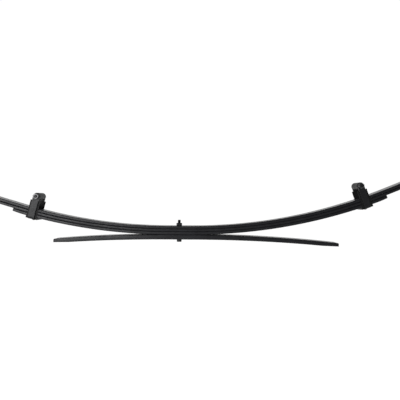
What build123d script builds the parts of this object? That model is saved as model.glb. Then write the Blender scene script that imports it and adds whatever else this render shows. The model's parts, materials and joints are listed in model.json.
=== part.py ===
import os
from collections import namedtuple
from math import cos, radians, sin, sqrt, tan

from build123d import *

# Rear suspension leaf spring of a pickup truck: three long leaves of a progressive main pack over a thick,
# nearly flat overload leaf, held by a centre bolt and two rebound clips, with a rubber bush in each eye.
#
# Millimetres, +Z up. The origin is on the centre bolt's axis, in the face that sits on the axle. +X points
# to the rear (shackle) eye and -X to the front (fixed) eye; the leaves' width lies along Y. The spring is
# at its free, unloaded arch.
#
# A place on a leaf is given by its side (FRONT or REAR), its run (the distance from the end of the flat
# seat, along the leaf's top face) and its depth below that face.

FRONT = -1
REAR = 1

# ---- Leaves ----
leaf_width = 60.0
edge_radius = 2.2
seat_half_length = 40.0
main_thickness = 9.0
second_thickness = 9.0
third_thickness = 10.2
main_radius = 1690.0
nip = 15.0
slope = {FRONT: 16.5, REAR: 22.0}
main_run = {FRONT: 620.0, REAR: 779.0}
second_rear_run = 737.0
third_run = {FRONT: 509.0, REAR: 653.0}
third_tip_thickness = 8.7
third_taper_length = 30.0
tip_corner_radius = 9.0

# ---- Eyes: the main leaf's are rolled upwards, and the second leaf wraps under the front one ----
eye_radius = 19.0
eye_turn = 305.0
wrap_turn = 100.0
wrap_lead = 4.0

# ---- Overload leaf ----
overload_thickness = 16.0
overload_flat_half = 50.0
overload_length = {FRONT: 408.5, REAR: 520.5}
overload_drop = {FRONT: 13.3, REAR: 23.0}
overload_end_thickness = 13.8
overload_taper_length = 50.0
overload_tip_thickness = 11.0
overload_nose_radius = 3.0

# ---- Centre bolt ----
bolt_radius = 5.0
bolt_hole_clearance = 0.25
thread_clearance = 0.05
centre_head_radius = 8.0
centre_head_height = 9.0
centre_head_chamfer = 1.2
seat_recess_depth = 0.5
seat_recess_clearance = 1.0
centre_nut_flats = 16.0
centre_nut_height = 9.0
centre_thread_length = 10.2
thread_chamfer = 0.8

# ---- Anti-friction pads in the leaf tips ----
pad_radius = 14.0
pad_recess = 1.2
pad_peg_radius = 5.0
pad_clearance = 0.1
pad_from_tip = 22.0
pad_from_eye = 25.0

# ---- Rebound clips ----
clip_run = {FRONT: 437.3, REAR: 573.3}
clip_side_clearance = 0.3
clip_base_clearance = 0.15
liner_wall = 2.0
liner_base = 2.5
liner_width = 32.0
liner_foot_width = 37.0
liner_lip = 4.0
liner_height = 25.0
liner_corner_radius = 1.0
strap_width = 21.0
strap_wall = 4.75
strap_bend_radius = 3.0
strap_edge_radius = 0.8
clip_bolt_height = 39.5
clip_nut_flats = 17.0
clip_nut_height = 8.0
clip_head_height = 6.4
clip_thread_length = 3.0
roller_radius = 11.5
roller_bore_clearance = 0.1
roller_end_clearance = 0.2
roller_chamfer = 1.0
rivet_radius = 4.0
rivet_clearance = 0.1
rivet_head_radius = 7.75
rivet_head_height = 5.2
rivet_flush_radius = 6.5
rivet_flush_height = 2.4

# ---- Eye bushes ----
shell_clearance = 0.05
shell_wall = 1.5
sleeve_radius = 11.0
sleeve_bore_radius = 7.1
sleeve_overhang = 5.0
sleeve_chamfer = 0.8
sleeve_clearance = 0.05
flange_overlap = 4.0
flange_clearance = 0.1
flange_end_gap = 1.0
flange_edge_radius = 1.0

# ---- Worked-out values ----
half_width = leaf_width / 2
sleeve_half_length = half_width + sleeve_overhang
Leaf = namedtuple("Leaf", "top radius thickness")
third = Leaf(
    overload_thickness + third_thickness,
    main_radius + main_thickness + second_thickness + 2 * nip,
    third_thickness,
)
second = Leaf(third.top + second_thickness, main_radius + main_thickness + nip, second_thickness)
main = Leaf(second.top + main_thickness, main_radius, main_thickness)


def bend_at(leaf, side, run):
    """How far the leaf has turned up from the seat, in radians."""
    return min(run / leaf.radius, radians(slope[side]))


def leaf_point(leaf, side, run, depth=0.0):
    """A point of the leaf as (X, Z): on its arc, or past it on the straight end."""
    bend = bend_at(leaf, side, run)
    straight = run - leaf.radius * bend
    reach = seat_half_length + (leaf.radius + depth) * sin(bend) + straight * cos(bend)
    height = leaf.top + leaf.radius - (leaf.radius + depth) * cos(bend) + straight * sin(bend)
    return (side * reach, height)


def leaf_plane(leaf, side, run):
    """A plane on the leaf's top face, with its x towards the rear, its y across and its z off the leaf."""
    bend = bend_at(leaf, side, run)
    x, z = leaf_point(leaf, side, run)
    return Plane((x, 0, z), x_dir=(cos(bend), 0, side * sin(bend)), z_dir=(-side * sin(bend), 0, cos(bend)))


def leaf_gap(leaf, side, run):
    """The gap over the leaf: its radius is larger by the nip, so it leaves the one above as it bends."""
    return nip * (1 - cos(bend_at(leaf, side, run)))


def arm_line(leaf, side, run, depth):
    """One face of an arm: the arc from the seat, and the straight end past it."""
    arc_run = min(run, leaf.radius * radians(slope[side]))
    start = leaf_point(leaf, side, 0, depth)
    middle = leaf_point(leaf, side, arc_run / 2, depth)
    end = leaf_point(leaf, side, arc_run, depth)
    ThreePointArc(start, middle, end)
    if run > arc_run:
        Line(end, leaf_point(leaf, side, run, depth))


def seat_lines(leaf):
    """The flat stretches of both faces between the two arms."""
    for depth in (0, leaf.thickness):
        Line(leaf_point(leaf, FRONT, 0, depth), leaf_point(leaf, REAR, 0, depth))


def straight_directions(side):
    """The outward and upward unit vectors of a straight leaf end, as (X, Z)."""
    turn = radians(slope[side])
    return Vector(side * cos(turn), sin(turn)), Vector(-side * sin(turn), cos(turn))


def ring_point(side, centre, radius, turn):
    """A point on a ring round an eye, turned outwards and up from where the arm meets the ring."""
    outward, upward = straight_directions(side)
    return centre + outward * (radius * sin(radians(turn))) - upward * (radius * cos(radians(turn)))


def ring_line(side, centre, inner, wall, turn):
    """Both faces of a leaf end rolled round an eye, and its cut end."""
    for radius in (inner, inner + wall):
        ThreePointArc(*[ring_point(side, centre, radius, part * turn) for part in (0, 0.5, 1)])
    Line(ring_point(side, centre, inner, turn), ring_point(side, centre, inner + wall, turn))


def eye_centre(side):
    return Vector(*leaf_point(main, side, main_run[side])) + straight_directions(side)[1] * eye_radius


# ---- Features that several leaves share ----
def roll_edges(leaf, shortest):
    """Rounds the long edges along both sides of a leaf, and leaves its shorter cut ends square."""
    sides = [face for face in leaf.faces().filter_by(Axis.Y) if face.area > leaf_width**2]
    fillet([edge for face in sides for edge in face.edges() if edge.length > shortest], edge_radius)


def tip_trimmer(leaf, side, run):
    """What is cut away at a leaf's square end, to round its corners in plan."""
    with BuildPart() as trimmer:
        with BuildSketch(leaf_plane(leaf, side, run)):
            Rectangle(2 * tip_corner_radius, 2 * leaf_width)
            with Locations((-side * leaf_width, 0)):
                RectangleRounded(2 * leaf_width, leaf_width, tip_corner_radius, mode=Mode.SUBTRACT)
        extrude(amount=2 * leaf.thickness, both=True)
    return trimmer.part


def drill_centre():
    """The centre bolt's hole, right through a leaf."""
    with Locations((0, 0, main.top)):
        Hole(bolt_radius + bolt_hole_clearance, depth=main.top)


def drill_pad(leaf, side, run):
    """The hole and recess for a pad in a leaf's top face."""
    with Locations(leaf_plane(leaf, side, run)):
        CounterBoreHole(
            pad_peg_radius + pad_clearance,
            pad_radius + pad_clearance,
            pad_recess,
            depth=2 * leaf.thickness,
        )


# ---- Small pieces ----
def make_hex(plane, flats, height, bore=0.0):
    """A hexagonal nut, or with no bore a bolt head, with both faces' corners chamfered to a circle."""
    corner = flats / sqrt(3)
    face_radius = 0.95 * flats / 2
    drop = (corner - face_radius) * tan(radians(30))
    section = Plane(plane.origin, x_dir=plane.x_dir, z_dir=-plane.y_dir)
    with BuildPart() as piece:
        with BuildSketch(plane):
            RegularPolygon(flats / 2, 6, major_radius=False)
        extrude(amount=height)
        with BuildSketch(section):
            with BuildLine():
                Polyline(
                    (0, 0),
                    (face_radius, 0),
                    (corner, drop),
                    (corner, height - drop),
                    (face_radius, height),
                    (0, height),
                    close=True,
                )
            make_face()
        revolve(axis=Axis(plane.origin, plane.z_dir), mode=Mode.INTERSECT)
        if bore:
            with BuildSketch(plane):
                Circle(bore)
            extrude(amount=height, mode=Mode.SUBTRACT)
    return piece


def make_tube(plane, outer, inner, half_length, chamfer_size=0.0):
    """A tube centred on the plane, with its ends' outer edges chamfered if a size is given."""
    with BuildPart() as piece:
        with BuildSketch(plane):
            Circle(outer)
        extrude(amount=half_length, both=True)
        if chamfer_size:
            chamfer(piece.edges().filter_by(GeomType.CIRCLE), chamfer_size)
        with BuildSketch(plane):
            Circle(inner)
        extrude(amount=half_length, both=True, mode=Mode.SUBTRACT)
    return piece


def make_pad(leaf, side, run):
    """A button: its head fills the recess and the gap over it, its peg fills the leaf's hole."""
    seat = leaf_plane(leaf, side, run)
    with BuildPart() as piece:
        with BuildSketch(seat.offset(-pad_recess)):
            Circle(pad_radius)
        extrude(amount=pad_recess + leaf_gap(leaf, side, run) - pad_clearance)
        with BuildSketch(seat.offset(-pad_recess)):
            Circle(pad_peg_radius)
        extrude(amount=pad_recess + pad_clearance - leaf.thickness)
    return piece


# ---- Rebound clips: each stands on its own plane, whose z is off the main leaf's top face ----
strap_inner = half_width + clip_side_clearance + liner_wall
strap_outer = strap_inner + strap_wall


def clip_plane(side):
    return leaf_plane(main, side, clip_run[side])


def pack_depth(side):
    """From the main leaf's top face down to the third leaf's bottom face, at the clip."""
    gap = leaf_gap(main, side, clip_run[side])
    return main.thickness + second.thickness + third.thickness + 2 * gap


def web_top(side):
    """The strap's web hangs under the liner's foot, which is close under the third leaf."""
    return -pack_depth(side) - clip_base_clearance - liner_base


def rivet_flush_top(side):
    """The rivet's flush head is let into the third leaf's top face."""
    return third.thickness - pack_depth(side) - rivet_clearance


def across(side):
    """Looking along the leaf: x runs across the leaf and y off it."""
    base = clip_plane(side)
    return Plane(base.origin, x_dir=base.y_dir, z_dir=base.x_dir)


def along(side):
    """Looking across the leaf: x runs along the leaf and y off it."""
    base = clip_plane(side)
    return Plane(base.origin, x_dir=base.x_dir, z_dir=-base.y_dir)


def bolt_axis(side):
    """Across the leaf through the clip's bolt: z points away from the nut's side."""
    base = clip_plane(side)
    return Plane(base.origin + base.z_dir * clip_bolt_height, x_dir=base.x_dir, z_dir=base.y_dir)


def make_clip_liner(side):
    """A moulded U between the strap and the leaves, with a wider foot that lips the strap."""
    bottom = web_top(side)
    inner = half_width + clip_side_clearance
    with BuildPart() as piece:
        with BuildSketch(across(side)):
            with BuildLine():
                FilletPolyline(
                    (-strap_inner, liner_height),
                    (-strap_inner, bottom),
                    (strap_inner, bottom),
                    (strap_inner, liner_height),
                    radius=strap_bend_radius,
                )
                FilletPolyline(
                    (-inner, liner_height),
                    (-inner, bottom + liner_base),
                    (inner, bottom + liner_base),
                    (inner, liner_height),
                    radius=liner_corner_radius,
                )
                Line((-strap_inner, liner_height), (-inner, liner_height))
                Line((strap_inner, liner_height), (inner, liner_height))
            make_face()
        extrude(amount=liner_width / 2, both=True)
        foot = clip_plane(side).offset(bottom)
        flat_half = strap_inner - strap_bend_radius
        with BuildSketch(foot):
            Rectangle(liner_foot_width, 2 * flat_half)
        extrude(amount=liner_base)
        with BuildSketch(foot):
            Rectangle(liner_foot_width, 2 * flat_half)
            Rectangle(strap_width + 2 * rivet_clearance, 2 * flat_half, mode=Mode.SUBTRACT)
        extrude(amount=-liner_lip)
        with BuildSketch(foot):
            Circle(rivet_radius + rivet_clearance)
        extrude(amount=liner_base, mode=Mode.SUBTRACT)
    return piece


def make_clip_strap(side):
    """A U of flat bar with rounded leg ends, a bolt hole through its legs and a rivet hole in its web."""
    top = web_top(side)
    end_radius = strap_width / 2
    leg_top = clip_bolt_height + end_radius
    with BuildPart() as piece:
        with BuildSketch(across(side)):
            with BuildLine():
                FilletPolyline(
                    (-strap_outer, leg_top),
                    (-strap_outer, top - strap_wall),
                    (strap_outer, top - strap_wall),
                    (strap_outer, leg_top),
                    radius=strap_bend_radius + strap_wall,
                )
                FilletPolyline(
                    (-strap_inner, leg_top),
                    (-strap_inner, top),
                    (strap_inner, top),
                    (strap_inner, leg_top),
                    radius=strap_bend_radius,
                )
                Line((-strap_outer, leg_top), (-strap_inner, leg_top))
                Line((strap_outer, leg_top), (strap_inner, leg_top))
            make_face()
        extrude(amount=end_radius, both=True)
        with BuildSketch(along(side)):
            with Locations((0, clip_bolt_height)):
                Circle(end_radius)
            with Locations((0, clip_bolt_height)):
                Rectangle(strap_width, clip_bolt_height - top + strap_wall, align=(Align.CENTER, Align.MAX))
        extrude(amount=strap_outer, both=True, mode=Mode.INTERSECT)
        with BuildSketch(bolt_axis(side)):
            Circle(bolt_radius + bolt_hole_clearance)
        extrude(amount=strap_outer, both=True, mode=Mode.SUBTRACT)
        with BuildSketch(clip_plane(side).offset(top)):
            Circle(rivet_radius + rivet_clearance)
        extrude(amount=-strap_wall, mode=Mode.SUBTRACT)
        outlines = piece.faces().filter_by(Axis((0, 0, 0), clip_plane(side).x_dir)).edges()
        leg_ends = [edge for edge in outlines.filter_by(Axis.Y) if edge.length < 2 * strap_wall]
        fillet(outlines - leg_ends, strap_edge_radius)
    return piece


def make_clip_bolt(side):
    """A bolt across the leaf, its head on +Y and its thread's end on -Y."""
    axis = bolt_axis(side)
    tip = strap_outer + clip_nut_height + clip_thread_length
    head = make_hex(axis.offset(strap_outer), clip_nut_flats, clip_head_height)
    with BuildPart() as piece:
        add(head.part)
        with BuildSketch(axis.offset(-tip)):
            Circle(bolt_radius)
        extrude(amount=tip + strap_outer)
        chamfer(piece.edges().filter_by(GeomType.CIRCLE).sort_by(Axis.Y)[0], thread_chamfer)
    return piece


def make_clip_nut(side):
    outer_face = bolt_axis(side).offset(-strap_outer - clip_nut_height)
    return make_hex(outer_face, clip_nut_flats, clip_nut_height, bolt_radius + thread_clearance)


def make_clip_roller(side):
    """The spacer tube that turns on the clip's bolt, over the main leaf."""
    half_length = strap_inner - roller_end_clearance
    bore = bolt_radius + roller_bore_clearance
    return make_tube(bolt_axis(side), roller_radius, bore, half_length, roller_chamfer)


def make_clip_rivet(side):
    """Holds strap and liner to the third leaf: a domed head below, and a flush head in the leaf."""
    head_top = web_top(side) - strap_wall
    flush_top = rivet_flush_top(side)
    with BuildPart() as piece:
        with BuildSketch(along(side)):
            with BuildLine():
                Line((0, head_top - rivet_head_height), (0, flush_top))
                Polyline(
                    (0, flush_top),
                    (rivet_flush_radius, flush_top),
                    (rivet_flush_radius, flush_top - rivet_flush_height),
                    (rivet_radius, flush_top - rivet_flush_height),
                    (rivet_radius, head_top),
                    (rivet_head_radius, head_top),
                )
                TangentArc(
                    (0, head_top - rivet_head_height),
                    (rivet_head_radius, head_top),
                    tangent=(1, 0),
                )
            make_face()
        revolve(axis=Axis(clip_plane(side).origin, clip_plane(side).z_dir))
    return piece


# ---- Eye bushes: a steel shell in the eye, rubber with two end flanges, and a sleeve ----
def eye_plane(side):
    x, z, _ = eye_centre(side)
    return Plane((x, 0, z), x_dir=(1, 0, 0), z_dir=(0, 1, 0))


shell_radius = eye_radius - shell_clearance
rubber_radius = shell_radius - shell_wall


def make_bush_shell(side):
    return make_tube(eye_plane(side), shell_radius, rubber_radius, half_width)


def make_bush_rubber(side):
    """Rubber bonded in the shell, with a flange over the eye's face at each end."""
    flange_start = half_width + flange_clearance
    end = sleeve_half_length - flange_end_gap
    with BuildPart() as piece:
        with BuildSketch(eye_plane(side)):
            Circle(rubber_radius)
        extrude(amount=end, both=True)
        for plane in (eye_plane(side).offset(flange_start), eye_plane(side).offset(-end)):
            with BuildSketch(plane):
                Circle(eye_radius + flange_overlap)
            extrude(amount=end - flange_start)
        faces = piece.faces().sort_by(Axis.Y)
        fillet([faces[0].edges()[0], faces[-1].edges()[0]], flange_edge_radius)
        with BuildSketch(eye_plane(side)):
            Circle(sleeve_radius + sleeve_clearance)
        extrude(amount=end, both=True, mode=Mode.SUBTRACT)
    return piece


def make_bush_sleeve(side):
    return make_tube(eye_plane(side), sleeve_radius, sleeve_bore_radius, sleeve_half_length, sleeve_chamfer)


end_name = {FRONT: "front", REAR: "rear"}
second_pad_run = {FRONT: main_run[FRONT] - pad_from_eye, REAR: second_rear_run - pad_from_tip}
third_pad_run = {side: run - pad_from_tip for side, run in third_run.items()}
os.makedirs("parts", exist_ok=True)


def save(builder, name):
    builder.part.label = name
    export_step(builder.part, f"parts/{name}.step")


# ---- Main leaf: an eye rolled up at each end, its top face inside the eye ----
with BuildPart() as main_leaf:
    with BuildSketch(Plane.XZ):
        with BuildLine():
            seat_lines(main)
            for side in (FRONT, REAR):
                arm_line(main, side, main_run[side], 0)
                arm_line(main, side, main_run[side], main.thickness)
                ring_line(side, eye_centre(side), eye_radius, main.thickness, eye_turn)
        make_face()
    extrude(amount=half_width, both=True)
    roll_edges(main_leaf, 2 * main.thickness)
    drill_centre()
save(main_leaf, "main_leaf")


# ---- Second leaf: wraps under the front eye, and ends short of the rear eye ----
# The wrap's centre is led past the eye's, so that the eye can slide forward in it as the arm straightens.
outward, upward = straight_directions(FRONT)
wrap_centre = eye_centre(FRONT) + outward * wrap_lead
arc_end_run = second.radius * radians(slope[FRONT])
arc_end = Vector(*leaf_point(second, FRONT, arc_end_run))
wrap_run = arc_end_run + (wrap_centre - arc_end).dot(outward)
wrap_radius = (wrap_centre - arc_end).dot(upward)
second_trimmer = tip_trimmer(second, REAR, second_rear_run)
with BuildPart() as second_leaf:
    with BuildSketch(Plane.XZ):
        with BuildLine():
            seat_lines(second)
            for side, run in ((FRONT, wrap_run), (REAR, second_rear_run)):
                arm_line(second, side, run, 0)
                arm_line(second, side, run, second.thickness)
            ring_line(FRONT, wrap_centre, wrap_radius, second.thickness, wrap_turn)
            Line(
                leaf_point(second, REAR, second_rear_run),
                leaf_point(second, REAR, second_rear_run, second.thickness),
            )
        make_face()
    extrude(amount=half_width, both=True)
    roll_edges(second_leaf, 2 * second.thickness)
    add(second_trimmer, mode=Mode.SUBTRACT)
    drill_centre()
    for side, run in second_pad_run.items():
        drill_pad(second, side, run)
save(second_leaf, "second_leaf")


# ---- Third leaf: its tips are tapered from below, and the clips are riveted near them ----
third_trimmers = [tip_trimmer(third, side, run) for side, run in third_run.items()]
with BuildPart() as third_leaf:
    with BuildSketch(Plane.XZ):
        with BuildLine():
            seat_lines(third)
            for side, run in third_run.items():
                arm_line(third, side, run, 0)
                arm_line(third, side, run, third.thickness)
                Line(leaf_point(third, side, run), leaf_point(third, side, run, third.thickness))
        make_face()
    extrude(amount=half_width, both=True)
    roll_edges(third_leaf, 2 * third.thickness)
    add(third_trimmers, mode=Mode.SUBTRACT)
    for side, run in third_run.items():
        with BuildSketch(Plane.XZ):
            with BuildLine():
                Polyline(
                    leaf_point(third, side, run - third_taper_length, third.thickness),
                    leaf_point(third, side, run, third_tip_thickness),
                    leaf_point(third, side, run + edge_radius, third_tip_thickness),
                    leaf_point(third, side, run, third.thickness + edge_radius),
                    close=True,
                )
            make_face()
        extrude(amount=half_width, both=True, mode=Mode.SUBTRACT)
    drill_centre()
    for side, run in third_pad_run.items():
        drill_pad(third, side, run)
    for side in (FRONT, REAR):
        with Locations(clip_plane(side).offset(rivet_flush_top(side) + rivet_clearance)):
            CounterBoreHole(
                rivet_radius + rivet_clearance,
                rivet_flush_radius + 2 * rivet_clearance,
                rivet_flush_height + 2 * rivet_clearance,
                depth=2 * third.thickness,
            )
save(third_leaf, "third_leaf")


# ---- Overload leaf: flat on the axle seat, drooping slightly, its tips tapered from below ----
with BuildPart() as overload_leaf:
    with BuildSketch(Plane.XZ) as overload_profile:
        with BuildLine():
            for height in (0, overload_thickness):
                Line((-overload_flat_half, height), (overload_flat_half, height))
            for side in (FRONT, REAR):
                end_bottom = (side * overload_length[side], -overload_drop[side])
                end_top = (end_bottom[0], end_bottom[1] + overload_end_thickness)
                tip_bottom = (end_top[0], end_top[1] - overload_tip_thickness)
                flat_end = (side * overload_flat_half, 0)
                arc = TangentArc(flat_end, end_bottom, tangent=(side, 0), mode=Mode.PRIVATE)
                taper_start = 1 - overload_taper_length / arc.length
                add(arc.trim(0, taper_start))
                Line(arc @ taper_start, tip_bottom)
                TangentArc((side * overload_flat_half, overload_thickness), end_top, tangent=(side, 0))
                Line(tip_bottom, end_top)
        make_face()
        corners = overload_profile.vertices().sort_by(Axis.X)
        noses = [pair.sort_by(Axis.Y)[-1] for pair in (corners[:2], corners[-2:])]
        fillet(noses, overload_nose_radius)
    extrude(amount=half_width, both=True)
    roll_edges(overload_leaf, 0)
    drill_centre()
    with BuildSketch(Plane.XY):
        Circle(centre_head_radius + seat_recess_clearance)
    extrude(amount=seat_recess_depth, mode=Mode.SUBTRACT)
save(overload_leaf, "overload_leaf")


# ---- Centre bolt, its round head seated in the overload leaf's recess, and its nut on the main leaf ----
with BuildPart() as centre_bolt:
    with BuildSketch(Plane.XY.offset(-centre_head_height)):
        Circle(centre_head_radius)
    extrude(amount=centre_head_height + seat_recess_depth)
    chamfer(centre_bolt.edges().group_by(Axis.Z)[0], centre_head_chamfer)
    with BuildSketch(Plane.XY.offset(seat_recess_depth)):
        Circle(bolt_radius)
    extrude(amount=main.top + centre_nut_height + centre_thread_length - seat_recess_depth)
    chamfer(centre_bolt.edges().group_by(Axis.Z)[-1], thread_chamfer)
save(centre_bolt, "centre_bolt")

nut_plane = Plane.XY.offset(main.top)
centre_nut = make_hex(nut_plane, centre_nut_flats, centre_nut_height, bolt_radius + thread_clearance)
save(centre_nut, "centre_nut")


# ---- Pads: a button let into the leaf's tip, standing up to the leaf above ----
for name, leaf, runs in (("second", second, second_pad_run), ("third", third, third_pad_run)):
    for side, run in runs.items():
        save(make_pad(leaf, side, run), f"{end_name[side]}_{name}_leaf_pad")


# ---- Rebound clips and eye bushes ----
for side in (FRONT, REAR):
    end = end_name[side]
    save(make_clip_liner(side), f"{end}_clip_liner")
    save(make_clip_strap(side), f"{end}_clip_strap")
    save(make_clip_bolt(side), f"{end}_clip_bolt")
    save(make_clip_nut(side), f"{end}_clip_nut")
    save(make_clip_roller(side), f"{end}_clip_roller")
    save(make_clip_rivet(side), f"{end}_clip_rivet")
    save(make_bush_shell(side), f"{end}_bush_shell")
    save(make_bush_rubber(side), f"{end}_bush_rubber")
    save(make_bush_sleeve(side), f"{end}_bush_sleeve")
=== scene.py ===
import json
from collections import namedtuple
from math import asin, atan2, ceil, cos, floor, hypot, pi, radians, sin, sqrt

import bmesh
import bpy
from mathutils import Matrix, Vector


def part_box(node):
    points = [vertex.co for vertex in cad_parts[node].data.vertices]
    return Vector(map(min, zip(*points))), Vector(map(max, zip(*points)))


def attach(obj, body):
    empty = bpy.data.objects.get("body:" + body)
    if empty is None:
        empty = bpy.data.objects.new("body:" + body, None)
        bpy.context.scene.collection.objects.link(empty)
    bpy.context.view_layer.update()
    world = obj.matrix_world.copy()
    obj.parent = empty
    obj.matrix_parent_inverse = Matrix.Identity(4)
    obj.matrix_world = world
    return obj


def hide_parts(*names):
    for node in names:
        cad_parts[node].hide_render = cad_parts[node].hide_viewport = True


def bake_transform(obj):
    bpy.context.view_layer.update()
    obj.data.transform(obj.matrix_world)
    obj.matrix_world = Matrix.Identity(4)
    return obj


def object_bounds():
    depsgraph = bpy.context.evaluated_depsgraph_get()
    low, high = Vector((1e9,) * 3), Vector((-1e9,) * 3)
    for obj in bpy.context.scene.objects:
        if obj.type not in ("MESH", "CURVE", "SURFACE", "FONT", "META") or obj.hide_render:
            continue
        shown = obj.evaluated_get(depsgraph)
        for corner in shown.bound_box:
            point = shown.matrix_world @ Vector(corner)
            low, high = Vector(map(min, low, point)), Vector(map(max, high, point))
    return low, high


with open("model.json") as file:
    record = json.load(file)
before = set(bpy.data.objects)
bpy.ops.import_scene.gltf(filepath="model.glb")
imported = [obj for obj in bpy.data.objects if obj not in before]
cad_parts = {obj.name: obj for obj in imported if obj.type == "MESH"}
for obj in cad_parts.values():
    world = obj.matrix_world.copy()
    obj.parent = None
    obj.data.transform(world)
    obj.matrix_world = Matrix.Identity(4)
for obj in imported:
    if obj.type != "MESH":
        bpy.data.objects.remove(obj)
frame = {"nodes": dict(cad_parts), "record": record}
cad_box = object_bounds()

# A pickup's rear leaf spring. Metres, +Z up, the origin in the axle seat under the centre bolt, +X to the rear
# eye. The three arched leaves bend, so each is two pieces that meet over the centre bolt, one for each arm.
FRONT = -1
REAR = 1
END = {FRONT: "front", REAR: "rear"}

# ---- Camera: level, looking across the leaves from a little to the rear of the centre bolt ----
CAMERA_PLACE = (0.0681, -1.7785, 0.1292)
CAMERA_LENS = 48.4
CAMERA_ROLL = -0.29

# ---- Sizes that the frame's boxes and joints don't give ----
SEAT_HALF = 0.040
MAIN_RADIUS = 1.690
NIP = 0.015
EYE_RADIUS = 0.019
EYE_TURN = 305.0
WRAP_TURN = 100.0
WRAP_LEAD = 0.004
THIRD_TIP = 0.0087
THIRD_TAPER = 0.030
TIP_CORNER = 0.009
OVERLOAD_FLAT = 0.050
OVERLOAD_DROP = {FRONT: 0.0133, REAR: 0.0230}
OVERLOAD_END = 0.0138
OVERLOAD_TAPER = 0.050
OVERLOAD_TIP = 0.011
OVERLOAD_NOSE = 0.003
CLIP_BOLT_HEIGHT = 0.0395
CLIP_FLATS = 0.017
BOLT_RADIUS = 0.005
HEAD_RECESS = 0.0005
PAD_RADIUS = 0.014
PAD_PEG = 0.005
PAD_RECESS = 0.0012

# ---- Finish of edges and ends ----
CUT_BEVEL = 0.0006
ROLLED_EDGE = 0.0022
ROLLED_SHARE_OF_DEPTH = 0.45
ROLLED_SHARE_OF_WIDTH = 0.9
EDGE_LOOP_INSET = 0.3
HEAD_CHAMFER = 0.0012
HEX_FACE_SHARE = 0.475
HEX_CHAMFER_SLOPE = 0.577
THREAD_PITCH = 0.0015
THREAD_DEPTH = 0.0008
THREAD_START = 0.0002
PAD_PEG_END = 0.0006
PAD_PEG_CHAMFER = 0.0004
PAD_RIM_CHAMFER = 0.0003
PAD_TOP_DROP = 0.0004
PAD_TOP_CHAMFER = 0.0004
PAD_CLEARANCE = 0.0001

# ---- Mesh steps: metres along a leaf, degrees round an eye or a corner ----
ROW_STEP = 0.008
RING_STEP = 7.5
CORNER_STEPS = 6
CORNER_ANGLES = (15, 30, 45, 60, 75, 90)
TURNED_SEGMENTS = 72
THREAD_STEPS = 8
SHARP_ANGLE = 34

# ---- Stage ----
FLOOR_REACH = 60.0
FLOOR_DROP = 1.0
FLOOR_GLOW = 0.75
FLOOR_NEAR_GLOW = 0.25
FLOOR_GLOW_RANGE = (0.5, 1.3)
ROOM_STRENGTH = 0.2
BACKDROP_STRENGTH = 1.02
BACKDROP_RANGE = (0.25, 0.8)
SOFTBOX_SIZE = (2.4, 0.7)
SOFTBOX_PLACE = (-1.5, -2.0, 0.12)
SOFTBOX_POWER = 40.0
SOFTBOX_TARGET = (-0.1, 0, 0.1)


def make_camera():
    data = bpy.data.cameras.new("camera")
    data.lens = CAMERA_LENS
    camera = bpy.data.objects.new("camera", data)
    camera.location = CAMERA_PLACE
    camera.rotation_euler = (pi / 2, radians(CAMERA_ROLL), 0)
    bpy.context.scene.collection.objects.link(camera)
    bpy.context.scene.camera = camera


# ---- Materials ----
def new_material(name, colour, roughness, metallic=0.0, specular=0.5):
    """A material with its plain values set on the shader. Returns it with its nodes, links and shader."""
    material = bpy.data.materials.new(name)
    material.use_nodes = True
    nodes, links = material.node_tree.nodes, material.node_tree.links
    shader = nodes["Principled BSDF"]
    shader.inputs["Base Color"].default_value = (*colour, 1.0)
    shader.inputs["Roughness"].default_value = roughness
    shader.inputs["Metallic"].default_value = metallic
    shader.inputs["Specular IOR Level"].default_value = specular
    return material, nodes, links, shader


def noise(nodes, links, scale, detail=4.0, stretch=(1, 1, 1)):
    """A noise in the object's own metres, stretched where a finish has a direction."""
    coordinates = nodes.new("ShaderNodeTexCoord")
    mapping = nodes.new("ShaderNodeMapping")
    mapping.inputs["Scale"].default_value = stretch
    texture = nodes.new("ShaderNodeTexNoise")
    texture.inputs["Scale"].default_value = scale
    texture.inputs["Detail"].default_value = detail
    links.new(coordinates.outputs["Object"], mapping.inputs["Vector"])
    links.new(mapping.outputs["Vector"], texture.inputs["Vector"])
    return texture.outputs["Fac"]


def spread(nodes, links, value, socket, low, high):
    """Drives a plain socket between two values by a noise."""
    ranges = nodes.new("ShaderNodeMapRange")
    ranges.inputs["From Min"].default_value = 0.3
    ranges.inputs["From Max"].default_value = 0.7
    ranges.inputs["To Min"].default_value = low
    ranges.inputs["To Max"].default_value = high
    links.new(value, ranges.inputs["Value"])
    links.new(ranges.outputs["Result"], socket)


def tint(nodes, links, value, socket, dark, light):
    """Drives a colour socket between two colours by a noise."""
    ramp = nodes.new("ShaderNodeValToRGB")
    ramp.color_ramp.elements[0].position = 0.32
    ramp.color_ramp.elements[1].position = 0.68
    ramp.color_ramp.elements[0].color = (*dark, 1.0)
    ramp.color_ramp.elements[1].color = (*light, 1.0)
    links.new(value, ramp.inputs["Fac"])
    links.new(ramp.outputs["Color"], socket)


def bump(nodes, links, value, shader, strength, distance, below=None):
    """Adds a bump by a noise to a shader, over another bump where one is given."""
    node = nodes.new("ShaderNodeBump")
    node.inputs["Strength"].default_value = strength
    node.inputs["Distance"].default_value = distance
    links.new(value, node.inputs["Height"])
    if below:
        links.new(below.outputs["Normal"], node.inputs["Normal"])
    links.new(node.outputs["Normal"], shader.inputs["Normal"])
    return node


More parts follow.
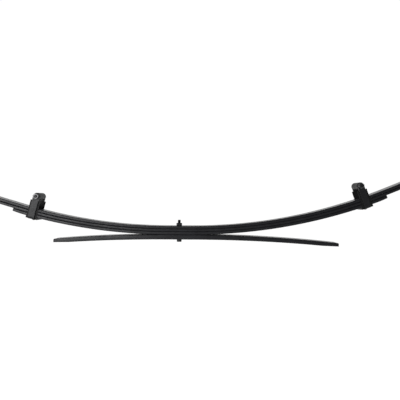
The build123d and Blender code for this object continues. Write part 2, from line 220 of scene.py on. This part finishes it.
def black_paint(name, dark, light, roughness, scale_marks):
    """Semi-gloss black paint: a fine orange peel over the soft unevenness of rolled or forged steel."""
    material, nodes, links, shader = new_material(name, light, roughness, specular=0.24)
    tint(nodes, links, noise(nodes, links, 38.0, 6.0), shader.inputs["Base Color"], dark, light)
    streaks = noise(nodes, links, 60.0, 3.0, stretch=(0.25, 1, 1))
    spread(nodes, links, streaks, shader.inputs["Roughness"], roughness - 0.06, roughness + 0.08)
    forged = bump(nodes, links, noise(nodes, links, scale_marks, 3.0), shader, 0.25, 0.0006)
    bump(nodes, links, noise(nodes, links, 1400.0, 2.0), shader, 0.12, 0.0001, below=forged)
    return material


def moulded(name, dark, light, roughness, grain):
    """Matt moulded plastic or rubber with a fine grain."""
    material, nodes, links, shader = new_material(name, light, roughness, specular=0.3)
    tint(nodes, links, noise(nodes, links, 55.0, 5.0), shader.inputs["Base Color"], dark, light)
    uneven = noise(nodes, links, 90.0)
    spread(nodes, links, uneven, shader.inputs["Roughness"], roughness - 0.07, roughness + 0.1)
    bump(nodes, links, noise(nodes, links, grain, 3.0), shader, 0.3, 0.00015)
    return material


def bare_steel(name, dark, light, roughness, lines):
    """Plated or phosphated steel with turning marks around the bush's axis, which lies along Y."""
    material, nodes, links, shader = new_material(name, light, roughness, metallic=1.0)
    tint(nodes, links, noise(nodes, links, 70.0, 5.0), shader.inputs["Base Color"], dark, light)
    uneven = noise(nodes, links, 120.0)
    spread(nodes, links, uneven, shader.inputs["Roughness"], roughness - 0.08, roughness + 0.1)
    bump(nodes, links, noise(nodes, links, lines, 2.0, stretch=(0.02, 1, 0.02)), shader, 0.15, 0.0001)
    return material


def make_materials():
    """Every slot's finish: its maker, name, darker and lighter colour, roughness, and scale of its marks."""
    finishes = {
        "spring_steel": (
            black_paint, "spring_paint",
            (0.008, 0.0083, 0.010), (0.013, 0.0134, 0.0165),
            0.33, 85.0,
        ),
        "clip_steel": (
            black_paint, "clip_paint",
            (0.008, 0.0083, 0.0095), (0.013, 0.0134, 0.0155),
            0.36, 160.0,
        ),
        "roller_steel": (
            black_paint, "roller_paint",
            (0.006, 0.0062, 0.007), (0.008, 0.0082, 0.0092),
            0.55, 240.0,
        ),
        "bolt_steel": (
            black_paint, "bolt_paint",
            (0.006, 0.0063, 0.0075), (0.010, 0.0104, 0.0125),
            0.38, 300.0,
        ),
        "clip_fastener": (
            bare_steel, "fastener_steel",
            (0.07, 0.07, 0.072), (0.115, 0.115, 0.118),
            0.40, 700.0,
        ),
        "liner_plastic": (
            moulded, "liner_plastic",
            (0.003, 0.003, 0.0033), (0.006, 0.006, 0.0064),
            0.60, 900.0,
        ),
        "pad_plastic": (
            moulded, "pad_plastic",
            (0.016, 0.016, 0.017), (0.03, 0.03, 0.031),
            0.55, 900.0,
        ),
        "bush_rubber": (
            moulded, "bush_rubber",
            (0.009, 0.009, 0.009), (0.017, 0.0165, 0.016),
            0.68, 1300.0,
        ),
        "bush_steel": (
            bare_steel, "bush_steel",
            (0.13, 0.13, 0.125), (0.22, 0.215, 0.205),
            0.45, 500.0,
        ),
        "sleeve_steel": (
            bare_steel, "sleeve_zinc",
            (0.40, 0.39, 0.36), (0.56, 0.55, 0.53),
            0.32, 900.0,
        ),
    }
    return {slot: maker(*values) for slot, (maker, *values) in finishes.items()}


def finish_piece(piece, slot, body=None):
    """Gives a made piece the material of its record slot and, if a body is given (for a piece that doesn't
    bend), attaches it to that body.
    """
    piece.data.materials.clear()
    piece.data.materials.append(materials[slot])
    if body:
        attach(piece, body)


# ---- Meshes ----
def mesh_object(name, rows):
    """A tube through rows of points, each a closed ring of equal count, capped at both ends."""
    mesh = bmesh.new()
    rings = [[mesh.verts.new(point) for point in row] for row in rows]
    count = len(rows[0])
    for near, far in zip(rings, rings[1:]):
        for i in range(count):
            k = (i + 1) % count
            mesh.faces.new((near[i], near[k], far[k], far[i]))
    mesh.faces.new(list(reversed(rings[0])))
    mesh.faces.new(rings[-1])
    bmesh.ops.recalc_face_normals(mesh, faces=mesh.faces)
    data = bpy.data.meshes.new(name)
    mesh.to_mesh(data)
    mesh.free()
    data.shade_smooth()
    data.set_sharp_from_angle(angle=radians(SHARP_ANGLE))
    piece = bpy.data.objects.new(name, data)
    bpy.context.scene.collection.objects.link(piece)
    return piece


# ---- Leaves ----
Leaf = namedtuple("Leaf", "top radius thickness")
Station = namedtuple("Station", "point up thickness half_width")


def measure_leaves():
    """The three arched leaves, from the heights of the flat seats in the stack."""
    overload_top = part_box("overload_leaf")[1][2]
    third_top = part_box("second_leaf")[0][2]
    second_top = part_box("main_leaf")[0][2]
    main_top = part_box("centre_nut")[0][2]
    main = Leaf(main_top, MAIN_RADIUS, main_top - second_top)
    second = Leaf(second_top, main.radius + main.thickness + NIP, second_top - third_top)
    third = Leaf(third_top, second.radius + second.thickness + NIP, third_top - overload_top)
    return main, second, third


def arm_slope(side):
    """The slope of an arm's straight end, which touches both the main leaf's arc and the eye."""
    eye = eye_centre[side]
    across, down = abs(eye.x) - SEAT_HALF, eye.z - main.top - main.radius
    return atan2(down, across) + asin((main.radius - EYE_RADIUS) / hypot(across, down))


def directions(side, turn):
    """The outward and upward unit vectors of a leaf that has turned up by an angle."""
    return Vector((side * cos(turn), 0, sin(turn))), Vector((-side * sin(turn), 0, cos(turn)))


def on_leaf(leaf, side, run, half_width, thickness=None):
    """A station on a leaf's top face: the flat seat if run is negative, then the arc, then straight."""
    bend = min(max(run, 0) / leaf.radius, slope[side])
    outward, up = directions(side, bend)
    centre = Vector((side * SEAT_HALF, 0, leaf.top + leaf.radius))
    point = centre - up * leaf.radius
    if run < 0:
        point = point + outward * run
    else:
        point = point + outward * (run - leaf.radius * bend)
    return Station(point, up, leaf.thickness if thickness is None else thickness, half_width)


def round_eye(side, centre, radius, turn, thickness, half_width):
    """A station on a leaf end that is rolled round an eye."""
    outward, up = directions(side, slope[side])
    towards = up * cos(turn) - outward * sin(turn)
    return Station(centre - towards * radius, towards, thickness, half_width)


def run_over(leaf, side, reach, depth=0.0):
    """The run of a place that is a given reach past the seat, and a given depth below the top face."""
    straight = reach - (leaf.radius + depth) * sin(slope[side])
    if straight > 0:
        return leaf.radius * slope[side] + straight / cos(slope[side])
    return leaf.radius * asin(reach / (leaf.radius + depth))


def run_at_tip(leaf, side, node, depth):
    """The run of a cut leaf end, from how far its lower corner reaches in the CAD box."""
    reach = abs(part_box(node)[0 if side == FRONT else 1][0]) - SEAT_HALF
    return run_over(leaf, side, reach, depth)


def section(station, inset=0.0):
    """The closed outline of a leaf across a station, its long edges rolled round."""
    half = station.half_width - inset
    depth = station.thickness - 2 * inset
    radius = min(ROLLED_EDGE, ROLLED_SHARE_OF_DEPTH * depth, ROLLED_SHARE_OF_WIDTH * half)
    points = []
    for quarter in range(4):
        side_y = 1 if quarter in (0, 3) else -1
        side_z = 1 if quarter in (0, 1) else -1
        centre_y = side_y * (half - radius)
        centre_z = side_z * (depth / 2 - radius)
        for step in range(CORNER_STEPS + 1):
            angle = radians(90 * quarter + 90 * step / CORNER_STEPS)
            points.append((centre_y + radius * cos(angle), centre_z + radius * sin(angle)))
        if quarter in (0, 2):
            points.append((centre_y - side_y * radius * EDGE_LOOP_INSET, side_z * depth / 2))
            points.append((-centre_y + side_y * radius * EDGE_LOOP_INSET, side_z * depth / 2))
    middle = station.point - station.up * (station.thickness / 2)
    return [middle + Vector((0, y, 0)) + station.up * z for y, z in points]


def cut_rows(end, inside):
    """A cut end's outlines: the full one, set in by the bevel, and the smaller one at the cut."""
    shift = (inside.point - end.point).normalized() * CUT_BEVEL
    return [[point + shift for point in section(end)], section(end, CUT_BEVEL)]


def swept(name, stations, square_start=True):
    """A leaf through its stations. Its far end is a cut with a small bevel, and so may be its near one."""
    rows = [section(station) for station in stations]
    rows[-1:] = cut_rows(stations[-1], stations[-2])
    if not square_start:
        rows[:1] = reversed(cut_rows(stations[0], stations[1]))
    return mesh_object(name, rows)


def evenly(start, end, step):
    """Values from start to end, both included, no further apart than step."""
    count = max(1, ceil(abs(end - start) / step))
    return [start + (end - start) * i / count for i in range(count + 1)]


def corner_runs(run):
    """The last few runs of a cut end, closer together where its corners are rounded in plan."""
    return [run - TIP_CORNER * (1 - sin(radians(angle))) for angle in CORNER_ANGLES]


def width_near(run, tip):
    """Half of a leaf's width, less what its rounded tip corners take away."""
    into = max(0.0, run - (tip - TIP_CORNER))
    return half_width - TIP_CORNER + sqrt(max(TIP_CORNER**2 - into**2, 0.0))


def plain_arm(leaf, side, tip, thickness_at):
    """The stations of an arm that ends in a cut, with its corners rounded in plan."""
    runs = evenly(-SEAT_HALF, tip - TIP_CORNER, ROW_STEP) + corner_runs(tip)
    return [on_leaf(leaf, side, run, width_near(run, tip), thickness_at(run)) for run in runs]


def rolled_arm(leaf, side, run, centre, radius, turn):
    """The stations of an arm whose end is rolled round a centre."""
    runs = evenly(-SEAT_HALF, run, ROW_STEP)
    turns = evenly(0, radians(turn), radians(RING_STEP))[1:]
    arm = [on_leaf(leaf, side, r, half_width) for r in runs]
    return arm + [round_eye(side, centre, radius, t, leaf.thickness, half_width) for t in turns]


def main_arm(side):
    """The eye is touched by the straight end, where the run ends."""
    outward = directions(side, slope[side])[0]
    arc_run = main.radius * slope[side]
    arc_end = on_leaf(main, side, arc_run, half_width).point
    run = arc_run + (eye_centre[side] - arc_end).dot(outward)
    return rolled_arm(main, side, run, eye_centre[side], EYE_RADIUS, EYE_TURN)


def second_arm(side):
    """In front it wraps under the eye, a little past its centre, and at the rear it ends in a cut."""
    if side == REAR:
        tip = run_at_tip(second, REAR, "second_leaf", second.thickness)
        return plain_arm(second, REAR, tip, lambda run: second.thickness)
    outward, up = directions(FRONT, slope[FRONT])
    arc_run = second.radius * slope[FRONT]
    arc_end = on_leaf(second, FRONT, arc_run, half_width).point
    centre = eye_centre[FRONT] + outward * WRAP_LEAD
    run = arc_run + (centre - arc_end).dot(outward)
    return rolled_arm(second, FRONT, run, centre, (centre - arc_end).dot(up), WRAP_TURN)


def third_arm(side):
    """Its tips are tapered from below."""
    tip = run_at_tip(third, side, "third_leaf", THIRD_TIP)

    def thickness_at(run):
        share = min(max((run - tip + THIRD_TAPER) / THIRD_TAPER, 0), 1)
        return third.thickness + (THIRD_TIP - third.thickness) * share

    return plain_arm(third, side, tip, thickness_at)


def bend_with_eye(piece, side):
    """Applies the placement of an arched leaf's arm, or of a pad, to its mesh; nothing here ties it to the
    pack or the eye, or bends it.
    """
    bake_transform(piece)


def make_arched_leaves():
    for node, arm in (("main_leaf", main_arm), ("second_leaf", second_arm), ("third_leaf", third_arm)):
        for side in (FRONT, REAR):
            piece = swept(f"{node}_{END[side]}_arm", arm(side))
            finish_piece(piece, "spring_steel")
            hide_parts(node)
            bend_with_eye(piece, side)


def make_overload_leaf():
    """Flat on the axle, then drooping and thinning to tips tapered from below and rounded above."""
    low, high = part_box("overload_leaf")
    tip_reach = {FRONT: abs(low[0]), REAR: abs(high[0])}

    def station(side, reach):
        tip = tip_reach[side]
        share = max(0.0, reach - OVERLOAD_FLAT) / (tip - OVERLOAD_FLAT)
        top = high[2] - (OVERLOAD_DROP[side] + high[2] - OVERLOAD_END) * share**2
        bottom = -OVERLOAD_DROP[side] * share**2
        into_taper = max(0.0, (reach - tip + OVERLOAD_TAPER) / OVERLOAD_TAPER)
        if into_taper > 0:
            start_share = (tip - OVERLOAD_TAPER - OVERLOAD_FLAT) / (tip - OVERLOAD_FLAT)
            start = -OVERLOAD_DROP[side] * start_share**2
            end = OVERLOAD_END - OVERLOAD_DROP[side] - OVERLOAD_TIP
            bottom = start + (end - start) * into_taper
        into_nose = max(0.0, reach - tip + OVERLOAD_NOSE)
        top -= OVERLOAD_NOSE - sqrt(max(OVERLOAD_NOSE**2 - into_nose**2, 0.0))
        return Station(Vector((side * reach, 0, top)), Vector((0, 0, 1)), top - bottom, half_width)

    def arm(side):
        tip = tip_reach[side]
        nose = [tip - OVERLOAD_NOSE * (1 - sin(radians(angle))) for angle in CORNER_ANGLES]
        return [station(side, reach) for reach in evenly(0, tip - OVERLOAD_NOSE, ROW_STEP) + nose]

    stations = list(reversed(arm(FRONT)[1:])) + arm(REAR)
    piece = swept("overload_leaf_rolled", stations, square_start=False)
    finish_piece(piece, "spring_steel", "pack")
    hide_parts("overload_leaf")


# ---- Turned pieces: rows of (distance along the axis, radius), where a radius may vary around the axis ----
def turned(name, origin, axis, sideways, rows):
    """A closed solid turned about an axis. A row's radius is a number, or a function of the angle."""
    third_axis = axis.cross(sideways)
    rings = []
    for along, radius in rows:
        ring = []
        for i in range(TURNED_SEGMENTS):
            angle = 2 * pi * i / TURNED_SEGMENTS
            reach = radius(angle) if callable(radius) else radius
            ring.append(origin + axis * along + (sideways * cos(angle) + third_axis * sin(angle)) * reach)
        rings.append(ring)
    return mesh_object(name, rings)


def thread_rows(start, end, radius):
    """A 60-degree thread whose crest is at the radius, fading in at its start and chamfered at its end."""
    rows = []
    for along in evenly(start, end, THREAD_PITCH / THREAD_STEPS):
        fade = min((along - start) / THREAD_PITCH, (end - along) / THREAD_PITCH, 1.0)

        def reach(angle, along=along, fade=fade):
            turns = along / THREAD_PITCH - angle / (2 * pi)
            tooth = abs(2 * (turns - floor(turns)) - 1)
            chamfer = max(0.0, THREAD_DEPTH - (end - along))
            return min(radius - fade * THREAD_DEPTH * tooth, radius - chamfer)

        rows.append((along, reach))
    return rows


def hex_rows(start, end, flats):
    """A hexagonal head between two places, its corners cut back to a cone at its free, far face."""

    def hexagon(angle, limit):
        into = (angle % (pi / 3)) - pi / 6
        return min(flats / 2 / cos(into), limit)

    corner, face = flats / sqrt(3), HEX_FACE_SHARE * flats
    drop = (corner - face) * HEX_CHAMFER_SLOPE
    return [
        (start, lambda a: hexagon(a, corner)),
        (end - drop, lambda a: hexagon(a, corner)),
        (end, lambda a: hexagon(a, face)),
    ]


def make_centre_bolt():
    """Round head below, plain shank in the pack, thread through the nut."""
    low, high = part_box("centre_bolt")
    nut_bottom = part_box("centre_nut")[0][2]
    head_radius = (high[0] - low[0]) / 2
    rows = [
        (low[2], head_radius - HEAD_CHAMFER),
        (low[2] + HEAD_CHAMFER, head_radius),
        (HEAD_RECESS, head_radius),
        (HEAD_RECESS, BOLT_RADIUS),
        (nut_bottom, BOLT_RADIUS),
    ]
    rows += thread_rows(nut_bottom + THREAD_START, high[2], BOLT_RADIUS)
    piece = turned("centre_bolt_threaded", Vector((0, 0, 0)), Vector((0, 0, 1)), Vector((1, 0, 0)), rows)
    finish_piece(piece, "bolt_steel", "pack")
    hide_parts("centre_bolt")


def make_clip_bolt(side):
    """Hexagonal head at the back, thread through the nut in front."""
    end = END[side]
    low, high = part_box(f"{end}_clip_bolt")
    nut_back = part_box(f"{end}_clip_nut")[1][1]
    strap_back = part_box(f"{end}_clip_strap")[1][1]
    place = Vector(joint_place[f"{end}_roller_spin"])
    turn = clip_turn[side]
    sideways = Vector((cos(turn), 0, side * sin(turn)))
    thread = thread_rows(low[1], nut_back, BOLT_RADIUS)
    rows = [(low[1] + nut_back - along, reach) for along, reach in reversed(thread)]
    rows += [(nut_back + THREAD_START, BOLT_RADIUS), (strap_back, BOLT_RADIUS)]
    rows += hex_rows(strap_back, high[1], CLIP_FLATS)
    piece = turned(f"{end}_clip_bolt_threaded", place, Vector((0, 1, 0)), sideways, rows)
    finish_piece(piece, "bolt_steel", f"{end}_clip")
    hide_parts(f"{end}_clip_bolt")


def make_pads():
    """Each pad is a button between two leaves, with its peg's end showing under the leaf it sits in."""
    for leaf_name, leaf in (("second", second), ("third", third)):
        for side in (FRONT, REAR):
            node = f"{END[side]}_{leaf_name}_leaf_pad"
            low, high = (Vector(corner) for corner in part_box(node))
            centre = (low + high) / 2
            reach = abs(centre.x) - SEAT_HALF
            turn = min(asin(min(1, reach / leaf.radius)), slope[side])
            outward, up = directions(side, turn)
            gap = NIP * (1 - cos(turn))
            seat = on_leaf(leaf, side, run_over(leaf, side, reach), half_width).point
            peg_end = -leaf.thickness - PAD_PEG_END
            top = gap - PAD_CLEARANCE
            rows = [
                (peg_end, PAD_PEG - PAD_PEG_CHAMFER),
                (peg_end + PAD_PEG_CHAMFER, PAD_PEG),
                (-PAD_RECESS, PAD_PEG),
                (-PAD_RECESS, PAD_RADIUS - PAD_RIM_CHAMFER),
                (-PAD_RECESS + PAD_RIM_CHAMFER, PAD_RADIUS),
                (top - PAD_TOP_DROP, PAD_RADIUS),
                (top, PAD_RADIUS - PAD_TOP_CHAMFER),
            ]
            piece = turned(f"{node}_button", seat, up, outward, rows)
            finish_piece(piece, "pad_plastic")
            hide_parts(node)
            bend_with_eye(piece, side)


# ---- Stage ----
def white_beyond(nodes, links, coordinate, span, near, far):
    """A value that rises along Y from near to far, so that the stage is white behind the spring."""
    parts = nodes.new("ShaderNodeSeparateXYZ")
    ranges = nodes.new("ShaderNodeMapRange")
    ranges.interpolation_type = "SMOOTHSTEP"
    ranges.inputs["From Min"].default_value, ranges.inputs["From Max"].default_value = span
    ranges.inputs["To Min"].default_value = near
    ranges.inputs["To Max"].default_value = far
    links.new(coordinate, parts.inputs["Vector"])
    links.new(parts.outputs["Y"], ranges.inputs["Value"])
    return ranges.outputs["Result"]


def make_floor():
    """A wide pale floor, well below the spring, that is lit from within where it runs under the backdrop."""
    mesh = bmesh.new()
    bmesh.ops.create_grid(mesh, x_segments=8, y_segments=8, size=FLOOR_REACH)
    data = bpy.data.meshes.new("floor")
    mesh.to_mesh(data)
    mesh.free()
    floor = bpy.data.objects.new("floor", data)
    floor.location = (0, 0, cad_box[0][2] - FLOOR_DROP)
    bpy.context.scene.collection.objects.link(floor)
    material, nodes, links, shader = new_material("pale_floor", (0.8, 0.8, 0.8), 0.9, specular=0.0)
    patches = noise(nodes, links, 0.4, 2.0)
    tint(nodes, links, patches, shader.inputs["Base Color"], (0.79, 0.79, 0.79), (0.81, 0.81, 0.81))
    shader.inputs["Emission Color"].default_value = (1.0, 1.0, 1.0, 1.0)
    place = nodes.new("ShaderNodeTexCoord").outputs["Object"]
    glow = white_beyond(nodes, links, place, FLOOR_GLOW_RANGE, FLOOR_NEAR_GLOW, FLOOR_GLOW)
    links.new(glow, shader.inputs["Emission Strength"])
    data.materials.append(material)


def make_surround():
    """A white backdrop on the leaves' far side, which fades to a dim room on their near side and overhead."""
    world = bpy.data.worlds.new("studio")
    bpy.context.scene.world = world
    world.use_nodes = True
    nodes, links = world.node_tree.nodes, world.node_tree.links
    direction = nodes.new("ShaderNodeTexCoord").outputs["Generated"]
    strength = white_beyond(nodes, links, direction, BACKDROP_RANGE, ROOM_STRENGTH, BACKDROP_STRENGTH)
    links.new(strength, nodes["Background"].inputs["Strength"])
    nodes["Background"].inputs["Color"].default_value = (1.0, 1.0, 1.0, 1.0)
    bpy.context.scene.view_settings.view_transform = "Standard"


def make_softbox():
    """A wide soft light on the near left."""
    data = bpy.data.lights.new("softbox", "AREA")
    data.shape = "RECTANGLE"
    data.size, data.size_y = SOFTBOX_SIZE
    data.energy = SOFTBOX_POWER
    light = bpy.data.objects.new("softbox", data)
    light.location = SOFTBOX_PLACE
    towards = Vector(SOFTBOX_TARGET) - Vector(SOFTBOX_PLACE)
    light.rotation_euler = towards.to_track_quat("-Z", "Y").to_euler()
    bpy.context.scene.collection.objects.link(light)


make_camera()
materials = make_materials()
joints = frame["record"]["behaviour"]["joints"]
joint_place = {joint["name"]: joint["pos_m"] for joint in joints if "pos_m" in joint}
eye_centre = {side: Vector(joint_place[f"{END[side]}_bush_twist"]) for side in (FRONT, REAR)}
main_low, main_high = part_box("main_leaf")
half_width = (main_high[1] - main_low[1]) / 2
main, second, third = measure_leaves()
slope = {side: arm_slope(side) for side in (FRONT, REAR)}
clip_reach = {side: abs(joint_place[f"{END[side]}_roller_spin"][0]) - SEAT_HALF for side in (FRONT, REAR)}
clip_turn = {side: asin(reach / (main.radius - CLIP_BOLT_HEIGHT)) for side, reach in clip_reach.items()}

slot_of = {part["node"]: part["material_slot"] for part in frame["record"]["subparts"]}
for node, solid in frame["nodes"].items():
    solid.data.materials.clear()
    solid.data.materials.append(materials[slot_of[node]])

make_arched_leaves()
make_overload_leaf()
make_centre_bolt()
for side in (FRONT, REAR):
    make_clip_bolt(side)
make_pads()
make_floor()
make_surround()
make_softbox()
